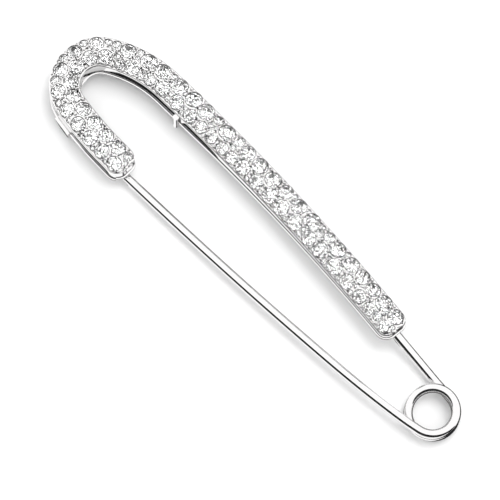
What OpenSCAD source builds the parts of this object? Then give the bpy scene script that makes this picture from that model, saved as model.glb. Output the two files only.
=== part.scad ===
// Veil pin: a long safety pin with a bent, crystal-set casing, shown closed and lying on its back.
// +X runs from the hook to the coil, +Y from the pin leg to the long limb, and +Z up from the surface.
// The origin is the middle of the footprint, on the surface that the pin lies on. Sizes are in millimetres.

/* [Casing] */
// Width of the casing
casing_w = 4.6; // [4.4:0.1:4.8]
// Thickness of the casing's side and end walls
wall = 0.45; // [0.4:0.01:0.5]
// Height of the top of the side walls above the surface
wall_top = 4.2; // [4.1:0.05:4.4]
// Rise of the domed bed above the side walls
bed_rise = 0.6; // [0.5:0.05:0.7]
// Width of the bright border between a side wall's face and the bed
border = 0.22; // [0.18:0.01:0.26]
// Slope of the bed at its two ends, in degrees
end_slope = 35; // [30:1:40]
// Height of the ceiling of the hollow underside
ceiling = 3.3; // [3.2:0.05:3.35]
// Height of the open rim under the hook and the short limb
rim = 1.4; // [1.2:0.05:1.6]
// Height of the underside at the heel, where the casing is a plate
heel_rim = 3.2; // [3.1:0.05:3.2]
// Radius of the long limb's underside, seen from the side
underside_r = 535; // [500:5:560]
// Corner radius at the short limb's mouth
mouth_corner = 1.8; // [1.5:0.1:2]
// Corner radius at the heel
heel_corner = 1; // [0.8:0.1:1.2]

/* [Casing line] */
// X of the middle of the short limb's mouth
mouth_x = -20.46; // [-21:0.01:-20]
// Y of the middle of the short limb's mouth
mouth_y = -6.61; // [-6.8:0.01:-6.4]
// Heading of the short limb at its mouth, in degrees
mouth_heading = 178.2; // [177.8:0.1:178.6]
// Length of the straight stretch behind the mouth
limb_straight = 4; // [3.5:0.1:4.5]
// Radius of the rest of the short limb
limb_r = 62; // [58:1:66]
// Turn of the rest of the short limb, in degrees
limb_turn = 8.4; // [8:0.1:8.8]
// Radius of the hook
hook_r = 5.1; // [5:0.05:5.2]
// Turn of the hook, in degrees
hook_turn = 139.5; // [138:0.5:141]
// Radius of the shoulder between the hook and the long limb
shoulder_r = 19.5; // [19:0.1:20]
// Turn of the shoulder, in degrees
shoulder_turn = 30.2; // [29.5:0.1:31]
// Radius of the long limb
back_r = 397; // [380:1:410]
// Turn of the long limb, in degrees
back_turn = 6.9; // [6.7:0.05:7.1]
// Length of the straight stretch at the heel
heel_straight = 2; // [1.5:0.1:2.5]

/* [Catch and post] */
// Distance of the middle of the catch from the mouth, along the short limb
catch_at = 11.6; // [11:0.1:11.8]
// Length of the catch
catch_l = 3.2; // [2.6:0.1:3.4]
// Thickness of the catch's lip under the pin leg
catch_t = 0.5; // [0.4:0.05:0.55]
// Reach of the catch's lip past the middle of the short limb
catch_reach = 0.4; // [0.3:0.05:0.5]
// Distance of the catch from the face of the outer wall
catch_in = 0.05; // [0.04:0.01:0.08]
// Length by which the catch laps the outer wall
catch_lap = 0.5; // [0.4:0.1:0.7]
// Height above the surface up to which the short limb is open to the pin leg
swing_top = 2.2; // [2.1:0.05:2.3]
// Turn of the hook up to which its inner side is open, in degrees
swing_turn = 12; // [10:1:14]
// X of the rest post
post_x = -21.1; // [-21.6:0.05:-20.6]
// Distance of the rest post's axis from the long limb's side wall
post_out = 0.22; // [0.18:0.01:0.26]
// Diameter of the rest post
post_d = 0.72; // [0.65:0.01:0.8]
// Height of the top of the rest post
post_top = 3.8; // [3.6:0.05:3.9]

/* [Pin wire] */
// Diameter of the spring wire
wire_d = 1.4; // [1.3:0.05:1.4]
// X of the coil's axis
coil_x = 35.86; // [35.6:0.01:36.1]
// Y of the coil's axis
coil_y = -1.05; // [-1.15:0.01:-0.95]
// Radius of the coil, to the middle of the wire
coil_r = 3.43; // [3.4:0.01:3.5]
// Gap between the coil's turns
turn_gap = 0.1; // [0.08:0.01:0.15]
// Heading at which the pin leg runs into the coil, in degrees
leg_heading = 11.5; // [11.3:0.1:11.7]
// Radius of the pin leg's bend at the coil
leg_r = 40; // [35:1:50]
// Turn of the bend at the coil, in degrees
leg_turn = 4.5; // [4.3:0.1:4.6]
// Radius of the pin leg's second stretch
second_r = 190; // [180:5:200]
// Radius of the pin leg's third stretch
third_r = 700; // [650:10:750]
// Turn of each of these two stretches, in degrees
stretch_turn = 3.75; // [3.7:0.01:3.8]
// Length of the straight stretch before the taper
leg_straight = 2.4; // [1:0.1:2.6]
// Length of the taper to the point
point_l = 5; // [4:0.5:7]
// Diameter of the blunted point
tip_d = 0.12; // [0.1:0.01:0.2]
// Fall of the pin leg from the coil to the catch, in degrees
leg_fall = 1.1; // [1:0.05:1.15]
// Heading of the shank from the coil to the casing, in degrees
shank_heading = 175.2; // [174.8:0.1:175.6]
// Length of the shank that lies flat beside the coil
shank_flat = 2.6; // [2.5:0.1:3]
// Radius of the bend that the shank rises from
bend_r = 4; // [3:0.5:5]
// Rise of the rest of the shank, in degrees
shank_rise = 10; // [9.6:0.1:10]
// Length of the rising stretch of the shank
shank_l = 12.4; // [12:0.1:12.8]

/* [Crystals] */
// Diameter of a large crystal
large_d = 2.2; // [2.1:0.01:2.2]
// Diameter of a small crystal
small_d = 0.66; // [0.6:0.01:0.67]
// Diameter of the larger ones, round the outside of the hook and at the two ends
filler_d = 1.24; // [1:0.01:1.26]
// Distance between crystals of the two rows, along the casing
step = 1.33; // [1.33:0.01:1.4]
// The same distance on the hook, where the inner row is crowded
hook_step = 1.45; // [1.45:0.01:1.5]
// Distance of the first large crystal from the mouth
first_s = 1.75; // [1.7:0.01:1.8]
// Least distance of the last large crystal from the heel
last_s = 1.6; // [1.6:0.01:1.63]
// Distance of the filler at either end from that end
end_s = 1.1; // [1.05:0.01:1.15]
// Distance of the filler at either end from the middle, over the dome
end_n = 0.85; // [0.83:0.01:0.87]
// Distance of a row of large crystals from the middle, over the dome
large_row = 1; // [1:0.01:1.02]
// Distance of a row of small crystals from the middle, over the dome
small_row = 1.84; // [1.82:0.01:1.84]
// Distance of the larger ones on the hook from the middle, over the dome
filler_row = 1.46; // [1.45:0.01:1.48]
// Least gap between two crystals
crystal_gap = 0.1; // [0.1:0.01:0.12]
// Height of a crystal's girdle above the bed
lift = 0.06; // [0.04:0.01:0.08]
// Clearance between a crystal and its seat
seat_gap = 0.06; // [0.05:0.01:0.08]

/* [Hidden] */
$fn = 64;
wire_fn = 48;

// Steps round a tight bend, and round one of more than this radius
bend_fn = 180;
wide_r = 30;
wide_fn = 1800;

// How far a cutting body runs past a face, and the height of one that runs past the crystals' bed
past = 1;
cutter = 6;

// Neighbouring pieces of a swept form lap by this length, and differ by this much all round.
lap = 0.03;
lap_fit = 0.02;
$fit = 0;

// A piece of a line is [radius, length], with radius 0 for a straight one, and each arc turns to the right.
function arc(r, turn) = [r, r * turn * PI / 180];
casing_line = [
    [0, limb_straight], arc(limb_r, limb_turn), arc(hook_r, hook_turn),
    arc(shoulder_r, shoulder_turn), arc(back_r, back_turn), [0, heel_straight]
];
// The pin leg's line starts at the coil and runs to the taper.
leg_line = [
    [0, 3 * lap], arc(leg_r, leg_turn), arc(second_r, stretch_turn), arc(third_r, stretch_turn),
    [0, leg_straight]
];
// The opening's line starts before the mouth and runs into the hook.
opening_line = [[0, limb_straight + past], casing_line[1], arc(hook_r, swing_turn)];

mouth = [mouth_x, mouth_y, mouth_heading];
half_w = casing_w / 2;
bed_half = half_w - border;
bed_r = (bed_half * bed_half + bed_rise * bed_rise) / (2 * bed_rise);
bed_z = wall_top + bed_rise - bed_r;
bed_foot = ceiling + 0.2;
casing_l = total(casing_line);
hook_start = casing_line[0][1] + casing_line[1][1];
hook_end = hook_start + casing_line[2][1];
turn_h = wire_d + turn_gap;
split = turn_gap / coil_r * 180 / PI;
lap_turn = lap / coil_r * 180 / PI;

// Cut of the crystals, as shares of the radius
table_share = 0.56;
star_share = 0.78;
crown_share = 0.3;
girdle_share = 0.05;
pavilion_share = 0.62;
culet_share = 0.34;

function total(line, i = 0) = i == len(line) ? 0 : line[i][1] + total(line, i + 1);

// Place and heading [x, y, heading] after going the distance d on a radius r to the right
function walk(at, r, d) =
    let (h = at[2])
    r == 0
        ? [at[0] + d * cos(h), at[1] + d * sin(h), h]
        : let (k = h - d / r * 180 / PI)
          [at[0] + r * (sin(h) - sin(k)), at[1] + r * (cos(k) - cos(h)), k];

// Place and heading at the start of piece i of a line
function start_of(line, at, i) =
    i == 0 ? at : walk(start_of(line, at, i - 1), line[i - 1][0], line[i - 1][1]);

// Place and heading at the distance d along the casing
function station(d, i = 0, at = mouth) =
    d <= casing_line[i][1] || i == len(casing_line) - 1
        ? walk(at, casing_line[i][0], d)
        : station(d - casing_line[i][1], i + 1, walk(at, casing_line[i][0], casing_line[i][1]));

module put(at) {
    translate([at[0], at[1], 0]) rotate([0, 0, at[2]]) children();
}

// Sweeps an upright profile along a line; the profile's x points to the left of the line. Neighbouring
// pieces lap a little, and every second profile is larger by $fit, so that no two faces coincide.
module sweep(line, at) {
    last = len(line) - 1;
    for (i = [0:last]) {
        r = line[i][0];
        before = i == 0 ? 0 : lap;
        a = walk(start_of(line, at, i), r, -before);
        length = line[i][1] + before + (i == last ? 0 : lap);
        turn = r == 0 ? 0 : length / r * 180 / PI;
        $fit = i % 2 * lap_fit;
        if (r == 0)
            put(a) rotate([90, 0, 90]) linear_extrude(length) children();
        else
            translate([a[0] + r * sin(a[2]), a[1] - r * cos(a[2]), 0]) rotate([0, 0, a[2] - turn + 90])
                rotate_extrude(angle = turn, $fn = r > wide_r ? wide_fn : bend_fn)
                    translate([r, 0]) children();
    }
}

// The casing's line with both ends shortened
function shortened(by) = [
    for (i = [0:len(casing_line) - 1])
        [casing_line[i][0], casing_line[i][1] - (i == 0 || i == len(casing_line) - 1 ? by : 0)]
];

// What rounds off a corner in plan: the corner is at the origin and the body lies towards +X and +Y.
module corner(r) {
    difference() {
        translate([-past, -past, -past]) cube([r + past, r + past, cutter + 2 * past]);
        translate([r, r, -2 * past]) cylinder(r = r, h = cutter + 4 * past);
    }
}

// The four rounded corners of a strip along the casing
module corners(half, inset) {
    heel = station(casing_l);
    for (side = [0, 1]) {
        put(mouth) mirror([0, side, 0]) translate([inset, -half, 0]) corner(mouth_corner - inset);
        put(heel) mirror([0, side, 0]) translate([-inset, -half, 0]) mirror([1, 0, 0])
            corner(heel_corner - inset);
    }
}

// A strip along the casing, inset by the same distance at its sides and ends
module strip(inset) {
    difference() {
        sweep(shortened(inset), walk(mouth, 0, inset)) children();
        corners(half_w - inset, inset);
    }
}

// The rim's body, up to the top of the side walls
module walls() {
    strip(0) translate([-half_w - $fit, rim - $fit])
        square([casing_w + 2 * $fit, wall_top - rim + 2 * $fit]);
}

// The domed bed that the crystals are set in
module bed() {
    heel = station(casing_l);
    difference() {
        strip(border) intersection() {
            translate([0, bed_z]) circle(bed_r + $fit, $fn = bend_fn);
            translate([-bed_half - $fit, bed_foot - $fit]) square([2 * (bed_half + $fit), cutter]);
        }
        put(mouth) end_fall();
        put(heel) mirror([1, 0, 0]) end_fall();
    }
}

// What makes the bed fall to the border at an end
module end_fall() {
    translate([border, -half_w, wall_top]) rotate([0, -end_slope, 0])
        translate([-past, 0, 0]) cube([3 * past, casing_w, 2 * past]);
}

// The casing is hollow from below.
module hollow() {
    strip(wall) translate([wall - half_w - $fit, -past - $fit])
        square([casing_w - 2 * wall + 2 * $fit, ceiling + past + 2 * $fit]);
}

// What is under the long limb: its underside rises towards the heel in one sprung curve.
module underside() {
    heel_x = station(casing_l)[0];
    run = sqrt(2 * underside_r * (heel_rim - rim)) + past;
    steps = 12;
    near = -5;
    far = 15;
    curve = [
        for (i = [0:steps]) let (d = run * (1 - i / steps))
            [heel_x - d, heel_rim - underside_r + sqrt(underside_r * underside_r - d * d)]
    ];
    translate([0, far, 0]) rotate([90, 0, 0]) linear_extrude(far - near)
        polygon(concat(
            [[heel_x - run, -past]], curve, [[heel_x + casing_w, heel_rim], [heel_x + casing_w, -past]]
        ));
}

// The short limb is open on its inner side and at its mouth, so the pin leg can swing out of the catch.
module opening() {
    inside = -half_w - 0.3;
    outside = half_w - wall - 0.01;
    sweep(opening_line, walk(mouth, 0, -past)) translate([inside - $fit, -past - $fit])
        square([outside - inside + 2 * $fit, swing_top + past + 2 * $fit]);
}

// The catch is a tab of the outer wall, bent round under the pin leg.
module catch_tab() {
    outer = half_w - catch_in;
    inner = -catch_reach;
    top = rim + catch_lap;
    put(station(catch_at)) translate([-catch_l / 2, 0, 0]) rotate([90, 0, 90]) linear_extrude(catch_l)
        difference() {
            translate([inner, 0]) square([outer - inner, top]);
            translate([inner - past, catch_t]) square([outer - inner + past - catch_t, top]);
            difference() {
                translate([outer - catch_t, -past]) square([catch_t + past, catch_t + past]);
                translate([outer - catch_t, catch_t]) circle(catch_t, $fn = wire_fn);
            }
        }
}

// The post that the hook rests on is soldered to the long limb's side wall.
module post() {
    face = casing_y(post_x) - half_w;
    translate([post_x, face - post_out, 0]) cylinder(d = post_d, h = post_top);
}

// Y of the long limb's middle line at x
function casing_y(x) =
    let (s = start_of(casing_line, mouth, 4), cx = s[0] + back_r * sin(s[2]), cy = s[1] - back_r * cos(s[2]))
    cy + sqrt(back_r * back_r - (x - cx) * (x - cx));

// Places something on the bed at the distance s along the casing and n across it, with +Z square to the bed
module on_bed(s, n) {
    put(station(s)) translate([0, 0, bed_z]) rotate([-n / bed_r * 180 / PI, 0, 0])
        translate([0, 0, bed_r]) children();
}

function on_hook(s) = s > hook_start && s < hook_end;

// Distances along the casing of the large crystals, in two rows, in turn to the left and to the right
stations = [
    for (s = first_s; s < casing_l - last_s; s = s + (on_hook(s) ? hook_step : step)) s
];
last = len(stations) - 1;
function side(i) = i % 2 == 0 ? 1 : -1;

// Place in plan at station i, n across the dome
function plan(i, n) =
    let (a = station(stations[i]), c = bed_r * sin(n / bed_r * 180 / PI))
    [a[0] - c * sin(a[2]), a[1] + c * cos(a[2])];

// Radius that is free across the bed from large crystal i, between the two beside it
function room(i, n) =
    min([for (j = [i - 1, i + 1]) if (j >= 0 && j <= last)
        norm(plan(i, -side(i) * n) - plan(j, side(j) * large_row))]) - large_d / 2 - crystal_gap;

// Small crystals as [distance along, distance across, diameter]: the larger ones where there is room
smalls = concat(
    [for (i = [0:last]) if (room(i, filler_row) >= filler_d / 2)
        [stations[i], -side(i) * filler_row, filler_d]],
    [for (i = [0:last]) if (room(i, filler_row) < filler_d / 2 && room(i, small_row) >= small_d / 2)
        [stations[i], -side(i) * small_row, small_d]],
    [[end_s, -side(0) * end_n, filler_d], [casing_l - end_s, -side(last) * end_n, filler_d]]
);

module each_large() {
    for (i = [0:last]) on_bed(stations[i], side(i) * large_row) children();
}

// Conical seat of a crystal of radius r
module seat(r) {
    depth = pavilion_share * r;
    slope = (r - culet_share * r) / depth;
    over = 0.3;
    translate([0, 0, lift - depth - seat_gap])
        cylinder(r1 = culet_share * r + seat_gap, r2 = r + seat_gap + slope * (over + seat_gap),
            h = depth + over + seat_gap);
}

// Points of a ring of n at radius r and height z, the first at the angle a
function ring(n, r, z, a = 0) =
    [for (i = [0:n - 1]) [r * cos(a + i * 360 / n), r * sin(a + i * 360 / n), z]];

// Brilliant cut: a table, 8 stars, 8 kites and 16 halves above the girdle, and a flat foiled back
module brilliant(r) {
    top = crown_share * r;
    reach = star_share * cos(22.5);
    star_z = top * (1 - (reach - table_share) / (1 - table_share));
    points = concat(
        ring(8, table_share * r, top), ring(8, star_share * r, star_z, 22.5),
        ring(16, r, 0), ring(16, r, -girdle_share * r),
        ring(8, culet_share * r, -pavilion_share * r)
    );
    faces = concat(
        [[for (i = [7:-1:0]) i]],
        [for (i = [0:7]) [i, (i + 1) % 8, 8 + i]],
        [for (i = [0:7]) [i, 8 + i, 16 + 2 * i, 8 + (i + 7) % 8]],
        [for (i = [0:7]) [8 + i, 16 + 2 * i + 1, 16 + 2 * i]],
        [for (i = [0:7]) [8 + i, 16 + (2 * i + 2) % 16, 16 + 2 * i + 1]],
        [for (i = [0:15]) [16 + i, 16 + (i + 1) % 16, 32 + (i + 1) % 16, 32 + i]],
        [for (i = [0:7]) [48 + i, 32 + (2 * i + 15) % 16, 32 + 2 * i]],
        [for (i = [0:7]) [48 + i, 32 + 2 * i, 32 + 2 * i + 1]],
        [for (i = [0:7]) [48 + i, 32 + 2 * i + 1, 48 + (i + 1) % 8]],
        [[for (i = [0:7]) 48 + i]]
    );
    translate([0, 0, lift]) polyhedron(points, faces);
}

// Single cut: a table and 8 facets above the girdle, and 8 facets below it
module single_cut(r) {
    points = concat(
        ring(8, table_share * r, crown_share * r), ring(8, r, 0),
        ring(8, culet_share * r, -pavilion_share * r)
    );
    faces = concat(
        [[for (i = [7:-1:0]) i]],
        [for (i = [0:7]) [i, (i + 1) % 8, 8 + (i + 1) % 8, 8 + i]],
        [for (i = [0:7]) [8 + i, 8 + (i + 1) % 8, 16 + (i + 1) % 8, 16 + i]],
        [[for (i = [0:7]) 16 + i]]
    );
    translate([0, 0, lift]) polyhedron(points, faces);
}

// Cast casing, with the rest post and the catch as one soldered piece
module casing() {
    color("silver") difference() {
        union() {
            difference() {
                union() {
                    walls();
                    bed();
                }
                hollow();
                underside();
                opening();
            }
            post();
            catch_tab();
        }
        on_shank() shank_rising(wire_d + 2 * (lap_fit + seat_gap), 2 * seat_gap);
        each_large() seat(large_d / 2);
        for (c = smalls) on_bed(c[0], c[1]) seat(c[2] / 2);
    }
}

// Where the shank leaves the coil: +Y is its heading
module on_shank() {
    translate([coil_x, coil_y, wire_d / 2]) rotate([0, 0, shank_heading - 90])
        translate([coil_r, 0, 0]) children();
}

// The rising stretch of the shank, as a rod of diameter d that is longer by more at its far end
module shank_rising(d, more) {
    translate([0, shank_flat + bend_r * sin(shank_rise), bend_r * (1 - cos(shank_rise))])
        rotate([shank_rise - 90, 0, 0]) translate([0, 0, -lap])
            cylinder(d = d, h = shank_l + lap + more, $fn = wire_fn);
}

module wire_section() {
    circle(d = wire_d + 2 * $fit, $fn = wire_fn);
}

// Part of a turn of the spring wire, to the left from the angle a
module turn_of_wire(a, turn, r = coil_r) {
    rotate([0, 0, a]) rotate_extrude(angle = turn, $fn = bend_fn) translate([r, 0]) wire_section();
}

// The fixed half of the spring wire: half a turn down, the lower half turn and the shank
module coil() {
    color("gainsboro") {
        translate([coil_x, coil_y, wire_d / 2]) {
            translate([0, 0, turn_h / 2]) rotate([0, 0, shank_heading - 90])
                rotate([0, -atan(turn_h / 2 / coil_r), 0])
                    turn_of_wire(0, 180 + lap_turn, norm([coil_r, turn_h / 2]), $fit = lap_fit);
            turn_of_wire(shank_heading + 90, 180);
        }
        on_shank() {
            translate([0, -lap, 0]) rotate([-90, 0, 0])
                cylinder(d = wire_d + 2 * lap_fit, h = shank_flat + 2 * lap, $fn = wire_fn);
            translate([0, shank_flat, bend_r]) rotate([0, 90, 0]) turn_of_wire(0, shank_rise, bend_r);
            shank_rising(wire_d + 2 * lap_fit, 0);
        }
    }
}

// The moving half of the spring wire: the upper strand of the coil and the leg, to its point
module pin_leg() {
    start = [coil_r * sin(leg_heading), -coil_r * cos(leg_heading), leg_heading + 180];
    end = start_of(leg_line, start, len(leg_line));
    color("gainsboro")
        translate([coil_x, coil_y, wire_d / 2 + turn_h]) rotate([0, -leg_fall, 0]) {
            turn_of_wire(leg_heading - 90, shank_heading - leg_heading - split, $fit = lap_fit);
            sweep(leg_line, walk(start, 0, -lap)) wire_section();
            put(walk(end, 0, -lap)) rotate([0, 90, 0])
                cylinder(d1 = wire_d - 2 * lap_fit, d2 = tip_d, h = point_l, $fn = wire_fn);
        }
}

module large_crystals() {
    color("white") each_large() brilliant(large_d / 2);
}

module small_crystals() {
    color("white") for (c = smalls) on_bed(c[0], c[1]) single_cut(c[2] / 2);
}

casing();
coil();
pin_leg();
large_crystals();
small_crystals();
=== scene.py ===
import math
import random

import bmesh
import bpy
from mathutils import Matrix, Vector


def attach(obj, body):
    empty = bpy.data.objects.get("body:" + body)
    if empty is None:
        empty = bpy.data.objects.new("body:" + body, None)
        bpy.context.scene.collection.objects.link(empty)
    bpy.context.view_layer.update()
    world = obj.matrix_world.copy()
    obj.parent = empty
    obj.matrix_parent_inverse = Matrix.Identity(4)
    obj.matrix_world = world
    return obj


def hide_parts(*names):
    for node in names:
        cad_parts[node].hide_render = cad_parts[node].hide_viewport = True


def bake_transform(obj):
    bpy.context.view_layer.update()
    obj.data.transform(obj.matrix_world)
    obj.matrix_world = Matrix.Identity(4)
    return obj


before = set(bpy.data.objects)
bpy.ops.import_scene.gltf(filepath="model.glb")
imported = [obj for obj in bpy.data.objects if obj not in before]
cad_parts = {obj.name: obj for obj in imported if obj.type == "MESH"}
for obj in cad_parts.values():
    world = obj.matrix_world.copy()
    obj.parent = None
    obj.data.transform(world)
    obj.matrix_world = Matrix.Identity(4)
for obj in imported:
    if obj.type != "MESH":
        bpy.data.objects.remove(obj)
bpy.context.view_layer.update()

# Casing. The bent front of the pin is one zinc alloy casting, hollow at the back, with a sunk
# bed for the crystals inside a bright border. It is tumbled, polished and plated with rhodium.
# Sizes are in millimetres up to the mesh, as in a maker's drawing.
MM = 0.001
CASING_HALF = 2.3
CASING_WALL = 0.45
CASING_TOP = 4.2
CASING_RIM = 1.4
CASING_CEILING = 3.3
CEILING_STEP = 1.4
HEEL_RIM = 3.2
UNDERSIDE_RADIUS = 535
SWING_TOP = 2.2
MOUTH_CORNER = 1.8
HEEL_CORNER = 1.5
HOOK_RADIUS = 5.1


def arc(radius, turn):
    """A piece of a line that turns to the right: its radius and its length."""
    return radius, radius * math.radians(turn)


MOUTH = (-20.46, -6.61, math.radians(178.2))
CASING_LINE = [(0, 4.0), arc(62, 8.4), arc(HOOK_RADIUS, 139.5), arc(19.5, 30.2), arc(397, 6.9),
               (0, 2.0)]
CASING_LENGTH = sum(length for _, length in CASING_LINE)
HOOK_START = CASING_LINE[0][1] + CASING_LINE[1][1]
HOOK_END = HOOK_START + CASING_LINE[2][1]
SWING_END = HOOK_START + arc(HOOK_RADIUS, 12)[1]


def walk(place, radius, length):
    """Place and heading after that length on a radius to the right; radius 0 goes straight on."""
    x, y, heading = place
    if not radius:
        return x + length * math.cos(heading), y + length * math.sin(heading), heading
    turned = heading - length / radius
    return (x + radius * (math.sin(heading) - math.sin(turned)),
            y + radius * (math.cos(turned) - math.cos(heading)), turned)


def along(line, start, distance):
    """Place and heading at that distance along a line."""
    place = start
    for radius, length in line[:-1]:
        if distance <= length:
            return walk(place, radius, distance)
        place = walk(place, radius, length)
        distance -= length
    return walk(place, line[-1][0], distance)


def on_casing(s, n, z):
    """The point s along the casing, n to the left of its middle line and z up, in metres."""
    x, y, heading = along(CASING_LINE, MOUTH, s)
    return Vector((x - n * math.sin(heading), y + n * math.cos(heading), z)) * MM


def rim_height(s, n, open_mouth):
    """Height of the lower edge. It rises to the heel, and is open where the pin leg swings."""
    if open_mouth or (s < SWING_END and n < 0):
        return SWING_TOP
    x, y, _ = along(CASING_LINE, MOUTH, s)
    if y < 0:
        return CASING_RIM
    to_heel = along(CASING_LINE, MOUTH, CASING_LENGTH)[0] - x
    rise = UNDERSIDE_RADIUS - math.sqrt(UNDERSIDE_RADIUS ** 2 - to_heel ** 2)
    return max(CASING_RIM, HEEL_RIM - rise)


# Stations along the sides, clear of the corners. They are closest round the hook, and there is
# one on each side of the step where the swing of the leg ends.
CORNER_CLEAR = 2.3


def spaced(first, step, count):
    """That many stations, a step apart."""
    return [first + step * i for i in range(count)]


side_stations = [CORNER_CLEAR, 3.0, 3.8] + spaced(4.0, 0.6, 15) + spaced(HOOK_START, 0.25, 50)
side_stations += [SWING_END - 0.01, SWING_END + 0.01] + spaced(HOOK_END, 0.5, 21)
side_stations += spaced(HOOK_END + 10.5, 1.0, 47) + [CASING_LENGTH - CORNER_CLEAR]
side_stations = sorted(s for s in side_stations if s <= CASING_LENGTH - CORNER_CLEAR)

# Stations round the corners, two of them close by the turn where the mouth's open part ends, and
# across the heel.
corner_turns = [math.radians(a) for a in (0, 9, 18, 27, 36, 45, 48.4, 48.8, 54, 63, 72, 81, 90)]
heel_shares = (0.6, 0.2, -0.2, -0.6)
OPEN_TURN = math.radians(48.6)


def outline(inset):
    """Points (s, n, open to the swinging leg) round the casing, in from its edge by the inset."""
    half = CASING_HALF - inset
    mouth_r, heel_r = max(MOUTH_CORNER - inset, 0), max(HEEL_CORNER - inset, 0)
    points = [(s, half, False) for s in side_stations]
    heel_s, mouth_s = CASING_LENGTH - inset - heel_r, inset + mouth_r
    points += [(heel_s + heel_r * math.sin(a), half - heel_r + heel_r * math.cos(a), False)
               for a in corner_turns]
    points += [(CASING_LENGTH - inset, (half - heel_r) * share, False) for share in heel_shares]
    points += [(heel_s + heel_r * math.cos(a), heel_r - half - heel_r * math.sin(a), False)
               for a in corner_turns]
    points += [(s, -half, False) for s in reversed(side_stations)]
    points += [(mouth_s - mouth_r * math.sin(a), mouth_r - half - mouth_r * math.cos(a), True)
               for a in corner_turns]
    points += [(inset, 0, True)]
    points += [(mouth_s - mouth_r * math.cos(a), half - mouth_r + mouth_r * math.sin(a),
                a < OPEN_TURN) for a in corner_turns]
    return points


def stack(mesh, rings, material=0):
    """Adds rings of points with the same count and the faces between each ring and the next."""
    made = [[mesh.verts.new(point) for point in ring] for ring in rings]
    for low, high in zip(made, made[1:]):
        for i in range(len(low)):
            j = (i + 1) % len(low)
            mesh.faces.new((low[i], low[j], high[j], high[i])).material_index = material
    return made


def capped(share):
    """A share, kept between nothing and the whole."""
    return min(1, max(0, share))


# The sides that face the south-east have the draft and the foot ledge of the tool, which parts on
# a slant. Their shoulder is sharp near the hook, and softer from there to the heel.
DRAFT = 0.1
DRAFT_SPREAD = 1.7
SHOULDER = 0.3
SHARP_SHOULDER = 0.14
SHARP_UNTIL = -12.5
SHARP_FADE = 3.0
INNER_SHARP_LEAD = 2


def slant(s, out_s, out_n):
    """How much of the draft the side has that faces that way."""
    heading = along(CASING_LINE, MOUTH, s)[2]
    east = out_s * math.cos(heading) - out_n * math.sin(heading)
    north = out_s * math.sin(heading) + out_n * math.cos(heading)
    return capped(DRAFT_SPREAD * (east - north) / math.sqrt(2))


edge = []
for (s, n, is_open), (far_s, far_n, _) in zip(outline(0), outline(-1)):
    share = slant(s, far_s - s, far_n - n)
    sharp = share * capped((SHARP_UNTIL - along(CASING_LINE, MOUTH, s)[0]) / SHARP_FADE)
    if n < 0 and s > HOOK_START:
        sharp *= capped((s - HOOK_END + INNER_SHARP_LEAD) / SHARP_FADE)
    edge.append((s, n, rim_height(s, n, is_open), far_s - s, far_n - n, share, sharp))


def wall_top(sharp):
    """Height where the wall ends and the rounded shoulder begins."""
    return CASING_TOP - SHOULDER + (SHOULDER - SHARP_SHOULDER) * sharp


def cast_ring(inset, height, draft=0.0, crisp=0.0):
    """A ring of the casing at that inset. height takes the rim's height and the sharpness there."""
    ring = []
    for (s, n, _), (_, _, rim, out_s, out_n, share, sharp) in zip(outline(inset), edge):
        out = draft * share + crisp * sharp
        ring.append(on_casing(s + out * out_s, n + out * out_n, height(rim, sharp)))
    return ring


def level(z):
    """A height that is the same all round the casing."""
    return lambda rim, sharp: z


def over_rim(z):
    """A height of z over the casing's lower edge."""
    return lambda rim, sharp: rim + z


WELD = 0.002
SLIVER = 0.001


def finish_mesh(mesh, name, materials, sharp=35):
    """Makes an object of the mesh, smooth but for the edges that are sharper than that angle."""
    bmesh.ops.remove_doubles(mesh, verts=mesh.verts, dist=WELD * MM)
    bmesh.ops.dissolve_degenerate(mesh, edges=mesh.edges, dist=SLIVER * MM)
    bmesh.ops.recalc_face_normals(mesh, faces=mesh.faces)
    for face in mesh.faces:
        face.smooth = True
    for side in mesh.edges:
        side.smooth = len(side.link_faces) == 2 and side.calc_face_angle() < math.radians(sharp)
    data = bpy.data.meshes.new(name)
    mesh.to_mesh(data)
    mesh.free()
    piece = bpy.data.objects.new(name, data)
    bpy.context.scene.collection.objects.link(piece)
    for material in materials:
        data.materials.append(material)
    return piece


def linear(sheet_hex):
    """An sRGB hex colour as linear red, green, blue and alpha."""
    parts = [int(sheet_hex[i:i + 2], 16) / 255 for i in (1, 3, 5)]
    return [p / 12.92 if p <= 0.04045 else ((p + 0.055) / 1.055) ** 2.4 for p in parts] + [1.0]


def add_node(tree, kind, settings=(), links=()):
    """Adds a node, sets its properties and sockets, and links other sockets into it."""
    made = tree.nodes.new(kind)
    for name, value in dict(settings).items():
        if isinstance(name, str) and name[0].islower():
            setattr(made, name, value)
        else:
            made.inputs[name].default_value = value
    for name, socket in dict(links).items():
        tree.links.new(socket, made.inputs[name])
    return made


def new_material(name):
    """A node material without nodes."""
    material = bpy.data.materials.new(name)
    material.use_nodes = True
    material.node_tree.nodes.clear()
    return material


# Rhodium over bright nickel is a cold white mirror. The plating copies the slight waviness that
# tumbling leaves, about a millimetre from crest to crest. Hand polishing makes it duller and
# sharper in patches of about three millimetres.
rhodium = new_material("rhodium_on_polished_casting")
tree = rhodium.node_tree
place = add_node(tree, "ShaderNodeTexCoord")
wave = add_node(tree, "ShaderNodeTexNoise", {"Scale": 0.9 / MM, "Detail": 2.0, "Roughness": 0.4},
                {"Vector": place.outputs["Object"]})
patch = add_node(tree, "ShaderNodeTexNoise", {"Scale": 0.35 / MM, "Detail": 3.0},
                 {"Vector": place.outputs["Object"]})
polish = add_node(tree, "ShaderNodeMapRange",
                  {"From Min": 0.35, "From Max": 0.65, "To Min": 0.04, "To Max": 0.08},
                  {"Value": patch.outputs["Fac"]})
relief = add_node(tree, "ShaderNodeBump", {"Strength": 0.25, "Distance": 0.01 * MM},
                  {"Height": wave.outputs["Fac"]})
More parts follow.
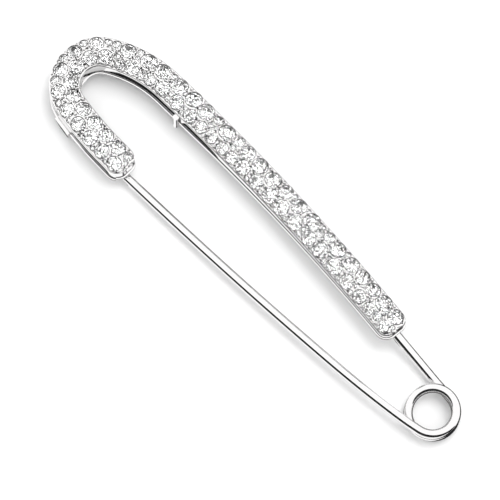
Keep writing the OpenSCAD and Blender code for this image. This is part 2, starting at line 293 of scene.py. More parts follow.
gloss = add_node(tree, "ShaderNodeBsdfPrincipled",
                 {"Base Color": linear("#e6e5e5"), "Metallic": 1.0},
                 {"Roughness": polish.outputs["Result"], "Normal": relief.outputs["Normal"]})
add_node(tree, "ShaderNodeOutputMaterial", {}, {"Surface": gloss.outputs["BSDF"]})

# A mix node's colour sockets go by number, because their names repeat.
MIX_FIRST, MIX_SECOND, MIX_RESULT = 6, 7, 2

# Between the stones the casting can't be polished. It stays rough, with pits of a quarter of a
# millimetre, and plates to a dull grey that is painted darker still: painted shade, for the shadow
# that falls between the stones.
bed_with_painted_shade = new_material("dull_plating_with_painted_shade_between_stones")
tree = bed_with_painted_shade.node_tree
place = add_node(tree, "ShaderNodeTexCoord")
pits = add_node(tree, "ShaderNodeTexNoise", {"Scale": 4 / MM, "Detail": 4.0, "Roughness": 0.7},
                {"Vector": place.outputs["Object"]})
shade = add_node(tree, "ShaderNodeMix",
                 {"data_type": "RGBA", MIX_FIRST: linear("#6e6d6d"), MIX_SECOND: linear("#b6b5b4")},
                 {"Factor": pits.outputs["Fac"]})
relief = add_node(tree, "ShaderNodeBump", {"Strength": 0.8, "Distance": 0.03 * MM},
                  {"Height": pits.outputs["Fac"]})
gloss = add_node(tree, "ShaderNodeBsdfPrincipled", {"Metallic": 1.0, "Roughness": 0.42},
                 {"Base Color": shade.outputs[MIX_RESULT], "Normal": relief.outputs["Normal"]})
add_node(tree, "ShaderNodeOutputMaterial", {}, {"Surface": gloss.outputs["BSDF"]})

# The casting's shape, ring by ring: the hollow's ceiling, the rounded lower edge, the foot ledge
# with its own rounded profile, the wall, the shoulder, the bright border and the sunk bed.
EDGE = 0.06
FOOT_LEDGE = 0.23
LEDGE_TOP = 0.24
LEDGE_PROFILE = ((0.04, 0.0), (0.01, 0.02), (0.0, 0.06), (0.0, 0.12), (0.015, 0.155),
                 (0.04, 0.175), (0.1, 0.2), (0.15, 0.215))
WALL_SHARES = (0.0, 0.03, 0.4, 0.8, 1.0)
SHOULDER_TURNS = (15, 30, 45, 60, 75, 90)
BORDER_TOP = 0.32
BORDER_BEVEL = 0.05
BED_SIDE = 0.08
BED_FLOOR = 3.7
BED_STEPS = (BORDER_TOP + BED_SIDE, 0.9, 1.5, CASING_HALF)


def up_wall(share):
    """A height that share of the way from the foot ledge to the top of the wall."""
    return lambda rim, sharp: rim + LEDGE_TOP + share * (wall_top(sharp) - rim - LEDGE_TOP)


def on_shoulder(drop):
    """A height on the rounded shoulder, down from the casing's top by that share of it."""
    return lambda rim, sharp: CASING_TOP - (CASING_TOP - wall_top(sharp)) * drop


mesh = bmesh.new()
rings = [cast_ring(inset, level(CASING_CEILING))
         for inset in (CASING_HALF, CEILING_STEP, CASING_WALL)]
rings += [cast_ring(CASING_WALL, over_rim(EDGE)), cast_ring(CASING_WALL - EDGE, over_rim(0)),
          cast_ring(0, over_rim(0), DRAFT)]
rings += [cast_ring(0, over_rim(z), DRAFT + FOOT_LEDGE - back) for back, z in LEDGE_PROFILE]
rings += [cast_ring(0, up_wall(share), DRAFT * (1 - share)) for share in WALL_SHARES]
for turn in SHOULDER_TURNS:
    across, drop = 1 - math.cos(math.radians(turn)), 1 - math.sin(math.radians(turn))
    rings.append(cast_ring(SHOULDER * across, on_shoulder(drop), 0.0,
                           (SHOULDER - SHARP_SHOULDER) * across))
rings += [cast_ring(BORDER_TOP, level(CASING_TOP)),
          cast_ring(BORDER_TOP + BORDER_BEVEL, level(CASING_TOP - BORDER_BEVEL))]
stack(mesh, rings)
stack(mesh, [rings[-1]] + [cast_ring(inset, level(BED_FLOOR)) for inset in BED_STEPS], 1)

# Catch and rest post. Both are of the casing's alloy, and soldered to it before plating. The catch
# is a strip bent round under the pin leg, and the post is a turned peg that keeps the hook off the
# surface.
CATCH_AT = 11.6
CATCH_LENGTH = 3.2
CATCH_THICK = 0.5
CATCH_CORNER = 0.12
CATCH_PROUD = 0.6
CATCH_TOP = 0.7
CATCH_DOWN = 0.2
CATCH_BEND = 0.25
CATCH_BEND_AT = 0.5
CATCH_TURNS = (20, 40, 60, 80, 90)
CATCH_LIP = 1.9
CATCH_IN = 0.3
POST = Vector((-21.1, 3.92, 0))
POST_RADIUS = 0.46
POST_TOP = 3.8
POST_CHAMFER = 0.08
catch_out = CASING_HALF + CATCH_PROUD - CATCH_THICK / 2
catch_line = [(catch_out, CASING_RIM + CATCH_TOP - CATCH_DOWN * i) for i in range(7)]
catch_line += [(catch_out - CATCH_BEND * (1 - math.cos(math.radians(a))),
                CATCH_BEND_AT - CATCH_BEND * math.sin(math.radians(a))) for a in CATCH_TURNS]
catch_line += [(CATCH_LIP - CATCH_IN * i, CATCH_BEND_AT - CATCH_BEND) for i in range(9)]


def rod(mesh, path, section, upright=(0, 0, 1)):
    """Adds a closed bar along the path. section gives each ring's offsets (across, up)."""
    rings = []
    for i, point in enumerate(path):
        heading = (path[min(i + 1, len(path) - 1)] - path[max(i - 1, 0)]).normalized()
        across = Vector(upright).cross(heading).normalized()
        up = heading.cross(across)
        rings.append([point + (a * across + b * up) * MM for a, b in section(i)])
    made = stack(mesh, rings)
    mesh.faces.new(reversed(made[0]))
    mesh.faces.new(made[-1])


def disc(radius, steps=24):
    """A round section."""
    return [(radius * math.cos(2 * math.pi * i / steps), radius * math.sin(2 * math.pi * i / steps))
            for i in range(steps)]


def strip_section(half_width, half_thick, corner):
    """A flat strip's section with rounded corners."""
    points = []
    for quarter, (a, b) in enumerate(((1, 1), (-1, 1), (-1, -1), (1, -1))):
        for step in range(4):
            turn = math.radians(90 * quarter + 30 * step)
            points.append((a * (half_width - corner) + corner * math.cos(turn),
                           b * (half_thick - corner) + corner * math.sin(turn)))
    return points


catch_section = [(up, across) for across, up in
                 strip_section(CATCH_LENGTH / 2, CATCH_THICK / 2, CATCH_CORNER)]
limb_heading = along(CASING_LINE, MOUTH, CATCH_AT)[2]
rod(mesh, [on_casing(CATCH_AT, n, z) for n, z in catch_line], lambda i: catch_section,
    (math.cos(limb_heading), math.sin(limb_heading), 0))
post_profile = [(0, POST_RADIUS - POST_CHAMFER), (POST_CHAMFER, POST_RADIUS),
                (POST_TOP, POST_RADIUS)]
rod(mesh, [(POST + Vector((0, 0, z))) * MM for z, _ in post_profile],
    lambda i: disc(post_profile[i][1]), (1, 0, 0))

casing = finish_mesh(mesh, "casing_plated", [rhodium, bed_with_painted_shade])
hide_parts("casing")
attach(casing, "frame")

# Spring wire. One length of hard steel wire, 1.4 mm thick, makes the pin leg, a turn and a half of
# coil and the shank. It is ground to a point, wound, and soldered into a groove under the heel. It
# is drawn here in three lengths that join without a seam, and the leg is a body of its own.
WIRE_RADIUS = 0.7
WIRE_SIDES = 32
WIRE_CREASE = 50
COIL = Vector((35.86, -1.05, 0))
COIL_RADIUS = 3.43
TURN_HEIGHT = 1.5
TURN_STEPS = 48
LEG_HEADING = math.radians(11.5)
LEG_FALL = math.radians(1.1)
LEG_LINE = [(0, 0.09), arc(40, 4.5), arc(190, 3.75), arc(700, 3.75), (0, 2.4)]
LEG_STEPS = 120
STRAND_STEPS = 40
POINT_LENGTH = 5.0
POINT_RADIUS = 0.06
POINT_STEPS = 16
SHANK_HEADING = math.radians(175.2)
SHANK_FLAT = 2.6
FLAT_STEPS = 4
SHANK_BEND = 4.0
BEND_STEPS = 6
SHANK_RISE = math.radians(10)
SHANK_LENGTH = 12.4
RISE_STEPS = 12
RAMP_START = SHANK_HEADING - math.pi / 2

# Hard steel wire under the same plating. Drawing leaves lines along it that are too fine for the
# eye, so they are made a sixth of a millimetre apart here, enough to stretch a highlight. It is a
# shade greyer than the casing.
wire_plate = new_material("rhodium_on_drawn_steel_wire")
tree = wire_plate.node_tree
place = add_node(tree, "ShaderNodeTexCoord")
drawn = add_node(tree, "ShaderNodeMapping", {"Scale": (0.06, 1.0, 1.0)},
                 {"Vector": place.outputs["Object"]})
lines = add_node(tree, "ShaderNodeTexNoise", {"Scale": 6 / MM, "Detail": 2.0},
                 {"Vector": drawn.outputs["Vector"]})
dull = add_node(tree, "ShaderNodeMapRange",
                {"From Min": 0.3, "From Max": 0.7, "To Min": 0.03, "To Max": 0.06},
                {"Value": lines.outputs["Fac"]})
relief = add_node(tree, "ShaderNodeBump", {"Strength": 0.08, "Distance": 0.004 * MM},
                  {"Height": lines.outputs["Fac"]})
gloss = add_node(tree, "ShaderNodeBsdfPrincipled",
                 {"Base Color": linear("#e3e2e2"), "Metallic": 1.0},
                 {"Roughness": dull.outputs["Result"], "Normal": relief.outputs["Normal"]})
add_node(tree, "ShaderNodeOutputMaterial", {}, {"Surface": gloss.outputs["BSDF"]})


def on_coil(turn, height):
    """The wire's middle on the coil, at that turn from +X and that height over the surface."""
    return COIL + Vector((COIL_RADIUS * math.cos(turn), COIL_RADIUS * math.sin(turn), height))


leg_top = WIRE_RADIUS + TURN_HEIGHT
leg_start = LEG_HEADING - math.pi / 2
leg_path = [on_coil(RAMP_START + (leg_start - RAMP_START) * i / STRAND_STEPS, leg_top)
            for i in range(STRAND_STEPS + 1)]
start = (leg_path[-1].x, leg_path[-1].y, LEG_HEADING + math.pi)
leg_length = sum(length for _, length in LEG_LINE)
for i in range(1, LEG_STEPS + 1):
    x, y, heading = along(LEG_LINE, start, leg_length * i / LEG_STEPS)
    leg_path.append(Vector((x, y, leg_top)))
point_from = len(leg_path) - 1
for i in range(1, POINT_STEPS + 1):
    x, y, _ = walk((x, y, heading), 0, POINT_LENGTH / POINT_STEPS)
    leg_path.append(Vector((x, y, leg_top)))
fall = (Matrix.Translation(COIL + Vector((0, 0, leg_top))) @ Matrix.Rotation(-LEG_FALL, 4, "Y")
        @ Matrix.Translation(-COIL - Vector((0, 0, leg_top))))


def leg_radius(i):
    """Full thickness up to the taper, then down to the blunted point."""
    share = max(0, i - point_from) / POINT_STEPS
    return WIRE_RADIUS + (POINT_RADIUS - WIRE_RADIUS) * share


mesh = bmesh.new()
rod(mesh, [fall @ point * MM for point in leg_path], lambda i: disc(leg_radius(i), WIRE_SIDES))
leg = finish_mesh(mesh, "pin_leg_wire", [wire_plate], WIRE_CREASE)
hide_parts("pin_leg")
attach(leg, "pin")

ramp_path = []
for i in range(TURN_STEPS + 1):
    swept = math.pi * i / TURN_STEPS
    height = WIRE_RADIUS + TURN_HEIGHT * (1 + math.cos(swept)) / 2
    ramp_path.append(on_coil(RAMP_START + swept, height))
mesh = bmesh.new()
rod(mesh, [point * MM for point in ramp_path], lambda i: disc(WIRE_RADIUS, WIRE_SIDES))
ramp = finish_mesh(mesh, "coil_ramp_wire", [wire_plate], WIRE_CREASE)
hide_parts("coil")
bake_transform(ramp)

shank_path = [on_coil(RAMP_START + math.pi + math.pi * i / TURN_STEPS, WIRE_RADIUS)
              for i in range(TURN_STEPS + 1)]
ahead = Vector((math.cos(SHANK_HEADING), math.sin(SHANK_HEADING), 0))
shank_path += [shank_path[-1] + ahead * SHANK_FLAT * i / FLAT_STEPS
               for i in range(1, FLAT_STEPS + 1)]
bend_at = shank_path[-1]
for i in range(1, BEND_STEPS + 1):
    rise = SHANK_RISE * i / BEND_STEPS
    shank_path.append(bend_at + ahead * SHANK_BEND * math.sin(rise)
                      + Vector((0, 0, SHANK_BEND * (1 - math.cos(rise)))))
rising = ahead * math.cos(SHANK_RISE) + Vector((0, 0, math.sin(SHANK_RISE)))
shank_path += [shank_path[-1] + rising * SHANK_LENGTH * i / RISE_STEPS
               for i in range(1, RISE_STEPS + 1)]
mesh = bmesh.new()
rod(mesh, [point * MM for point in shank_path], lambda i: disc(WIRE_RADIUS, WIRE_SIDES))
shank = finish_mesh(mesh, "shank_wire", [wire_plate], WIRE_CREASE)
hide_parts("coil")
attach(shank, "frame")

# Large crystals. Round brilliants of crystal glass with a silvered back. They stand in two rows,
# evenly staggered round the short limb and the hook, and in mixed sizes from the heel back to the
# hook. They are set by hand, so each is turned and tipped a little and sits a trace off its place.
BORDER = 0.22
BED_RISE = 0.6
BED_HALF = CASING_HALF - BORDER
BED_RADIUS = (BED_HALF ** 2 + BED_RISE ** 2) / (2 * BED_RISE)
BED_MIDDLE = CASING_TOP + BED_RISE - BED_RADIUS
BED_EDGE = 2.12
LIFT = 0.03

# A brilliant's cut, in shares of its girdle's radius: how far out its rings of corners lie, and how
# high or deep.
TABLE, CROWN = 0.56, 0.32
STAR = 0.79
GIRDLE = 0.02
UPPER_OUT, UPPER_FROM, UPPER_DOWN = 0.64, 0.05, 0.36
LOWER_OUT, LOWER_DOWN = 0.3, 0.7
PAVILION = 0.82
LARGE_FOLDS = 8


def seat(s, n, lift=0.0, turn=0.0, tip=(0.0, 0.0)):
    """Matrix that stands something on the dome that the stones make, n over it, in metres."""
    x, y, heading = along(CASING_LINE, MOUTH, s)
    lean = n / BED_RADIUS
    return (Matrix.Translation(Vector((x, y, BED_MIDDLE)) * MM) @ Matrix.Rotation(heading, 4, "Z")
            @ Matrix.Rotation(-lean, 4, "X") @ Matrix.Translation((0, 0, (BED_RADIUS + lift) * MM))
            @ Matrix.Rotation(tip[0], 4, "X") @ Matrix.Rotation(tip[1], 4, "Y")
            @ Matrix.Rotation(turn, 4, "Z"))


def circle(count, radius, height, turn=0.0):
    """A level ring of points."""
    return [Vector((radius * math.cos(turn + 2 * math.pi * i / count),
                    radius * math.sin(turn + 2 * math.pi * i / count), height))
            for i in range(count)]


def add_stone(mesh, radius, at, folds):
    """Adds a brilliant: table, stars, kites and halves of glass above, silvered pavilion below."""
    half_turn = math.pi / folds
    reach = STAR * math.cos(half_turn)
    star_height = CROWN * (1 - (reach - TABLE) / (1 - TABLE))
    rings = [circle(folds, TABLE, CROWN), circle(folds, STAR, star_height, half_turn),
             circle(2 * folds, 1.0, 0.0), circle(2 * folds, 1.0, -GIRDLE),
             circle(folds, UPPER_OUT, -UPPER_FROM - UPPER_DOWN * (PAVILION - GIRDLE)),
             circle(folds, LOWER_OUT, -GIRDLE - LOWER_DOWN * (PAVILION - GIRDLE), half_turn),
             [Vector((0, 0, -PAVILION))]]
    top, stars, girdle, under, mid, low, culet = [
        [mesh.verts.new(at @ (point * radius * MM)) for point in ring] for ring in rings]
    glass = [top]
    foil = []
    for i in range(folds):
        j, even, odd = (i + 1) % folds, 2 * i, 2 * i + 1
        after, before = (2 * i + 2) % (2 * folds), (i - 1) % folds
        glass += [(top[i], stars[i], top[j]), (top[i], stars[before], girdle[even], stars[i]),
                  (stars[i], girdle[even], girdle[odd]), (stars[i], girdle[odd], girdle[after])]
        foil += [(mid[i], under[odd], under[even]), (mid[i], mid[j], under[odd]),
                 (mid[j], under[after], under[odd]), (low[i], mid[j], mid[i]),
                 (low[i], low[j], mid[j]), (low[j], low[i], culet[0])]
    for k in range(2 * folds):
        following = (k + 1) % (2 * folds)
        glass.append((under[k], under[following], girdle[following], girdle[k]))
    for index, faces in enumerate((glass, foil)):
        for corners in faces:
            mesh.faces.new(corners).material_index = index


# Crystal glass, cut and polished: clear and colourless, and its facets are flat mirrors as well
# as windows.
crystal = new_material("cut_crystal_glass")
tree = crystal.node_tree
gloss = add_node(tree, "ShaderNodeBsdfPrincipled",
                 {"Base Color": linear("#ffffff"), "Roughness": 0.0, "IOR": 1.56,
                  "Transmission Weight": 1.0})
add_node(tree, "ShaderNodeOutputMaterial", {}, {"Surface": gloss.outputs["BSDF"]})

# Silver foil on the back of the glass: it throws back nearly all the light that comes in.
silver = new_material("silver_foil_back")
tree = silver.node_tree
gloss = add_node(tree, "ShaderNodeBsdfPrincipled",
                 {"Base Color": linear("#f5f5f5"), "Metallic": 1.0, "Roughness": 0.03})
add_node(tree, "ShaderNodeOutputMaterial", {}, {"Surface": gloss.outputs["BSDF"]})


def finish_stones(mesh, name):
    """Makes an object of cut stones, every facet flat."""
    data = bpy.data.meshes.new(name)
    mesh.to_mesh(data)
    mesh.free()
    piece = bpy.data.objects.new(name, data)
    bpy.context.scene.collection.objects.link(piece)
    data.materials.append(crystal)
    data.materials.append(silver)
    return piece


dice = random.Random(21)


def by_hand(spread):
    """A small random error of a hand setter."""
    return dice.uniform(-spread, spread)


STONE_GAP = 0.18
laid = []


def lay(s, n, radius):
    """Sets out a stone of that girdle radius on the bed."""
    laid.append((s, n, radius, seat(s, n).translation))


def clear(s, n, radius):
    """Whether a stone fits there beside all that are laid."""
    here = seat(s, n).translation
    return all((here - there).length / MM >= radius + size + STONE_GAP
               for _, _, size, there in laid)


# The even rows, from the mouth round the hook. The outer row lies further out round the bend.
FIRST = 1.75
STEP = 1.33
HOOK_STEP = 1.45
LARGE_GIRDLE = 1.08
SET_ROW = 0.95
LIMB_SPREAD = 1.1
HOOK_SPREAD = 1.05
HOOK_END_SPREAD = 1.14
SPREAD_LEAD = 3
ROWS_PAST = 0.5
s, row = FIRST, 1
while s < HOOK_END + ROWS_PAST:
    if s < HOOK_START:
        spread = LIMB_SPREAD
    elif row > 0:
        spread = HOOK_END_SPREAD if s > HOOK_END - SPREAD_LEAD else HOOK_SPREAD
    else:
        spread = 1
    lay(s, row * SET_ROW * spread, LARGE_GIRDLE)
    s += HOOK_STEP if HOOK_START < s < HOOK_END else STEP
    row = -row

# The mixed sizes, from the heel back, 1 being the outer row and -1 the inner one. Whichever row has
# the longer way to go gets the next stone, against the border, as close as it fits to the others.
HEEL_PAIR = {1: (1.66, 1.18), -1: (1.7, 0.86)}
SIZES = {1: (1.24, 1.22, 1.18, 1.1, 0.8), -1: (1.1, 1.05, 0.98, 0.9, 1.15)}
BORDER_LAP = 0.96
BACK_STEP = 0.04
JOIN = 2
front = {row: CASING_LENGTH - from_heel for row, (from_heel, _) in HEEL_PAIR.items()}
girdle = {row: radius for row, (_, radius) in HEEL_PAIR.items()}
while max(front.values()) > HOOK_END:
    row = 1 if front[1] > front[-1] else -1
    s, n = front[row], row * (BED_EDGE - BORDER_LAP * girdle[row])
    while not clear(s, n, girdle[row]) and s > HOOK_END - JOIN:
        s -= BACK_STEP
    if s > HOOK_END - JOIN:
        lay(s, n, girdle[row])
    front[row] = s
    girdle[row] = dice.choice(SIZES[row])

OFF_PLACE = 0.03
OFF_HEIGHT = 0.03
OFF_LEVEL = 0.1
OFF_SIZE = 0.01
seats = []
mesh = bmesh.new()
for s, n, radius, _ in laid:
    at = seat(s + by_hand(OFF_PLACE), n + by_hand(OFF_PLACE), LIFT + by_hand(OFF_HEIGHT),
              dice.uniform(0, math.pi), (by_hand(OFF_LEVEL), by_hand(OFF_LEVEL)))
    add_stone(mesh, radius * (1 + by_hand(OFF_SIZE)), at, LARGE_FOLDS)
    seats.append((radius, at))
large = finish_stones(mesh, "large_stones")
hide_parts("large_crystals")
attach(large, "frame")

# Small crystals. The same glass in smaller sizes, with fewer facets. The gaps between the large
# stones and along the border are filled with whatever stone goes in, the largest first.
SMALLEST = 0.29
LARGEST_FILLER = 0.66
SMALL_FOLDS = 6
SMALL_OFF_PLACE = 0.02
SMALL_OFF_LEVEL = 0.12
SMALL_OFF_SIZE = 0.02
FILL_STEP = 0.12
FILL_ACROSS = 17
END_BORDER = 0.1
TUCK = 0.04
NEAR = 4
FILL_REACH = 2.5
ROOM_LEFT = 0.05


def inside_border(s, n):
    """Distance from the bright border at that place on the bed."""
    from_end = min(s, CASING_LENGTH - s)
    corner = MOUTH_CORNER if s < CASING_LENGTH / 2 else HEEL_CORNER
    across = BED_RADIUS * math.sin(abs(n) / BED_RADIUS)
    if from_end < corner and across > CASING_HALF - corner:
        room = corner - math.hypot(corner - from_end, across - CASING_HALF + corner)
    else:
        room = min(from_end - END_BORDER, CASING_HALF - across)
    return room - CASING_HALF + BED_EDGE


spots = []
for i in range(int(CASING_LENGTH / FILL_STEP)):
    for j in range(-FILL_ACROSS, FILL_ACROSS + 1):
        s, n = FILL_STEP * (i + 0.5), FILL_STEP * j
        here = seat(s, n).translation
        gaps = [(here - there).length / MM - size for _, _, size, there in laid
                if (here - there).length < NEAR * MM]
        room = min([inside_border(s, n)] + [gap - STONE_GAP + TUCK for gap in gaps])
        if room > 0:
            spots.append([room, s, n, here])


def fill(smallest, largest):
    """Places for round things on the bed, the largest first, that keep clear of one another."""
    found = []
    while True:
        room, s, n, middle = max(spots, key=lambda spot: (round(min(spot[0], largest), 2), spot[1]))
        if room < smallest:
            return found
        radius = min(room, largest)
        found.append((s, n, radius))
        for spot in spots:
            gap = (spot[3] - middle).length / MM
            if gap < FILL_REACH:
                spot[0] = min(spot[0], gap - radius - STONE_GAP + TUCK)
        spots[:] = [spot for spot in spots if spot[0] > ROOM_LEFT]


mesh = bmesh.new()
for s, n, radius in fill(SMALLEST, LARGEST_FILLER):
    at = seat(s + by_hand(SMALL_OFF_PLACE), n + by_hand(SMALL_OFF_PLACE),
              LIFT + by_hand(OFF_HEIGHT), dice.uniform(0, math.pi),
              (by_hand(SMALL_OFF_LEVEL), by_hand(SMALL_OFF_LEVEL)))
    add_stone(mesh, radius * (1 + by_hand(SMALL_OFF_SIZE)), at, SMALL_FOLDS)
    seats.append((radius, at))
small = finish_stones(mesh, "small_stones")
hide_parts("small_crystals")
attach(small, "frame")

# Grains. Beads of the casing's own metal stand between the stones. They are raised with a graver,
# pushed over the stones' edges with a hollow punch, and plated with the casing.
SMALLEST_GRAIN = 0.12
GRAIN_RADIUS = 0.24
GRAIN_OVERLAP = 0.05
GRAIN_LIFT = 0.1
GRAIN_LEVELS = (-60, -30, 0, 25, 50, 72)
GRAIN_SIDES = 10
GRAIN_CREASE = 80
GRAIN_OFF_SIZE = 0.1
GRAIN_OFF_LEVEL = 0.2

# The beads and the web between them keep the graver's cuts, about 0.4 mm apart. The cuts are
# painted near black under the bright plating: painted shade, for the shadow in the cuts and
# between the grains.
metal_with_painted_cut_shade = new_material("rhodium_with_graver_cuts_and_painted_shade")
tree = metal_with_painted_cut_shade.node_tree
place = add_node(tree, "ShaderNodeTexCoord")
nicks = add_node(tree, "ShaderNodeTexVoronoi", {"Scale": 2.3 / MM, "Randomness": 1.0},
                 {"Vector": place.outputs["Object"]})
cut_shade_and_relief = add_node(tree, "ShaderNodeMapRange", {"From Min": 0.26, "From Max": 0.34},
                {"Value": nicks.outputs["Distance"]})
shade = add_node(tree, "ShaderNodeMix",
                 {"data_type": "RGBA", MIX_FIRST: linear("#1a1918"), MIX_SECOND: linear("#e6e5e5")},
                 {"Factor": cut_shade_and_relief.outputs["Result"]})
relief = add_node(tree, "ShaderNodeBump", {"Strength": 0.6, "Distance": 0.04 * MM},
                  {"Height": cut_shade_and_relief.outputs["Result"]})
gloss = add_node(tree, "ShaderNodeBsdfPrincipled", {"Metallic": 1.0, "Roughness": 0.12},
                 {"Base Color": shade.outputs[MIX_RESULT], "Normal": relief.outputs["Normal"]})
add_node(tree, "ShaderNodeOutputMaterial", {}, {"Surface": gloss.outputs["BSDF"]})


def add_grain(mesh, radius, at):
    """Adds a bead of metal, closed all round."""
    levels = [math.radians(a) for a in GRAIN_LEVELS]
    rings = [circle(GRAIN_SIDES, radius * math.cos(a), radius * math.sin(a)) for a in levels]
    made = stack(mesh, [[at @ (point * MM) for point in ring] for ring in rings])
    mesh.faces.new(reversed(made[0]))
    crest = mesh.verts.new(at @ (Vector((0, 0, radius)) * MM))
    for k in range(GRAIN_SIDES):
        mesh.faces.new((made[-1][k], made[-1][(k + 1) % GRAIN_SIDES], crest))


mesh = bmesh.new()
for s, n, radius in fill(SMALLEST_GRAIN, GRAIN_RADIUS):
    add_grain(mesh, (radius + GRAIN_OVERLAP) * (1 + by_hand(GRAIN_OFF_SIZE)),
              seat(s, n, GRAIN_LIFT + by_hand(OFF_HEIGHT), 0,
                   (by_hand(GRAIN_OFF_LEVEL), by_hand(GRAIN_OFF_LEVEL))))
beads = finish_mesh(mesh, "bead_grains", [metal_with_painted_cut_shade], GRAIN_CREASE)
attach(beads, "frame")

# Seats. Each stone sits in a cup of the casting that is cut a hair wider than the stone. The cup
# stands on the bed, and a web of metal runs out from it to the next one. The cup and its groove are
# painted near black: painted shade for the shadow in the gap, which draws a thin line round each
# stone.
SEAT_GROOVE = 0.085
SEAT_LIP = 0.03
SEAT_GAP = 0.02
SEAT_HOLE = 0.05
SEAT_SINK = 0.05
SEAT_FOOT = 0.06
SEAT_SIDES = 36
SMALL_SEAT_SIDES = 22
SEAT_CREASE = 40
CUP_LINE = ((0.33, 0.64), (0.68, 0.39))
CUP_DEPTH = 0.86
CUP_SHOULDER = 0.07
HAIR = 0.01
WEB_REACH = 0.34
WEB_STEP = 0.02
WEB_SLOPE = 0.25
WEB_BORDER = 0.14
NEIGHBOUR = 3.2
LINE_STEP = 0.2
LINE_NEAR = 3

# The cup's cut is painted near black, in spots of about a third of a millimetre: painted shade for
# the shadow in the gap round each stone.
seat_cup_painted_shade = new_material("seat_cut_with_painted_shade")
tree = seat_cup_painted_shade.node_tree
place = add_node(tree, "ShaderNodeTexCoord")
marks = add_node(tree, "ShaderNodeTexNoise", {"Scale": 3 / MM, "Detail": 2.0},
                 {"Vector": place.outputs["Object"]})
shade = add_node(tree, "ShaderNodeMix",
                 {"data_type": "RGBA", MIX_FIRST: linear("#0d0c0c"), MIX_SECOND: linear("#3d3b3a")},
                 {"Factor": marks.outputs["Fac"]})
gloss = add_node(tree, "ShaderNodeBsdfPrincipled", {"Metallic": 0.6, "Roughness": 0.5},
                 {"Base Color": shade.outputs[MIX_RESULT]})
add_node(tree, "ShaderNodeOutputMaterial", {}, {"Surface": gloss.outputs["BSDF"]})

neighbours = [[(size, other.translation) for size, other in seats
               if other is not at and (other.translation - at.translation).length < NEIGHBOUR * MM]
              for _, at in seats]
middle_line = [on_casing(LINE_STEP * k, 0, 0) for k in range(int(CASING_LENGTH / LINE_STEP) + 1)]
middles = [[point for point in middle_line
            if (point.xy - at.translation.xy).length < LINE_NEAR * MM] for _, at in seats]


def web_reach(index, turn):
    """How far the web reaches out from a stone in that direction, up to the next cup."""
    radius, at = seats[index]
    reach = radius + SEAT_GROOVE + SEAT_LIP
    while reach < radius + WEB_REACH:
        spot = at @ (Vector((reach * math.cos(turn), reach * math.sin(turn), 0)) * MM)
        if any((spot - middle).length / MM < size + SEAT_GROOVE
               for size, middle in neighbours[index]):
            break
        off_line = min((spot.xy - middle.xy).length for middle in middles[index])
        if off_line > (BED_HALF - WEB_BORDER) * MM:
            break
        reach += WEB_STEP
    return reach


mesh = bmesh.new()
for index, (radius, at) in enumerate(seats):
    around = SEAT_SIDES if radius > LARGEST_FILLER else SMALL_SEAT_SIDES
    foot = at.translation.z / MM - BED_FLOOR + SEAT_FOOT
    groove = radius + SEAT_GROOVE
    turns = [2 * math.pi * k / around for k in range(around)]
    reaches = [web_reach(index, turn) for turn in turns]
    cup = [(SEAT_HOLE, -CUP_DEPTH * radius - SEAT_GAP)]
    cup += [(out * radius, -deep * radius - SEAT_GAP) for out, deep in CUP_LINE]
    cup += [(radius - HAIR, -CUP_SHOULDER * radius - SEAT_GAP), (radius - HAIR, -HAIR),
            (groove - HAIR, -SEAT_SINK)]
    lip = [cup[-1], (groove, 0.0), (groove + SEAT_LIP, 0.0)]
    web = [[Vector((r * math.cos(turn), r * math.sin(turn), WEB_SLOPE * (groove + SEAT_LIP - r)))
            for r, turn in zip(reaches, turns)],
           [Vector((r * math.cos(turn), r * math.sin(turn), -foot))
            for r, turn in zip(reaches, turns)],
           circle(around, SEAT_HOLE, -foot)]
    low = stack(mesh, [[at @ (point * MM) for point in circle(around, r, z)] for r, z in cup], 1)
    high = stack(mesh, [[at @ (point * MM) for point in ring]
                        for ring in [circle(around, r, z) for r, z in lip] + web])
    mesh.faces.new(reversed(low[0])).material_index = 1
    mesh.faces.new(high[-1])
cuts = finish_mesh(mesh, "seat_cuts", [metal_with_painted_cut_shade, seat_cup_painted_shade], SEAT_CREASE)
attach(cuts, "frame")

# Studio. The pin lies on a white paper sweep, under a wide soft box high on its long limb's side
# and with white walls all round. The camera looks steeply down on it from the south-east, as in
# the photograph.
LOOK_AT = Vector((0.44, -2.41, 2.0)) * MM
VIEW_AZIMUTH = math.radians(44.7)
VIEW_ELEVATION = math.radians(75)
VIEW_DISTANCE = 0.45
VIEW_LENS = 222.9
VIEW_SENSOR = 36


def round_about(azimuth, elevation, distance):
    """A place that looks down at the pin from that azimuth, elevation and distance."""
    flat_way = Vector((math.sin(azimuth), -math.cos(azimuth), 0))
    return LOOK_AT + distance * (flat_way * math.cos(elevation)
                                 + Vector((0, 0, math.sin(elevation))))


camera_data = bpy.data.cameras.new("camera")
camera_data.lens = VIEW_LENS
camera_data.sensor_width = VIEW_SENSOR
camera = bpy.data.objects.new("camera", camera_data)
bpy.context.scene.collection.objects.link(camera)
camera.location = round_about(VIEW_AZIMUTH, VIEW_ELEVATION, VIEW_DISTANCE)
camera.rotation_euler = (LOOK_AT - camera.location).to_track_quat("-Z", "Y").to_euler()
bpy.context.scene.camera = camera

# Matt white paper with hardly any sheen. The sheet is three metres wide.
FLOOR_HALF = 1.5
paper = new_material("white_paper")
tree = paper.node_tree
gloss = add_node(tree, "ShaderNodeBsdfPrincipled",
                 {"Base Color": linear("#f5f5f5"), "Roughness": 0.9, "Specular IOR Level": 0.1})
add_node(tree, "ShaderNodeOutputMaterial", {}, {"Surface": gloss.outputs["BSDF"]})
mesh = bmesh.new()
bmesh.ops.create_grid(mesh, x_segments=1, y_segments=1, size=FLOOR_HALF)
floor = finish_mesh(mesh, "paper_floor", [paper])

# Cards. Black and white cards out of the camera's sight draw the dark and light lines in the
# polished metal. Those beside the pin lie just over the paper, so that the walls mirror them.
CARD_HEIGHT = 0.03

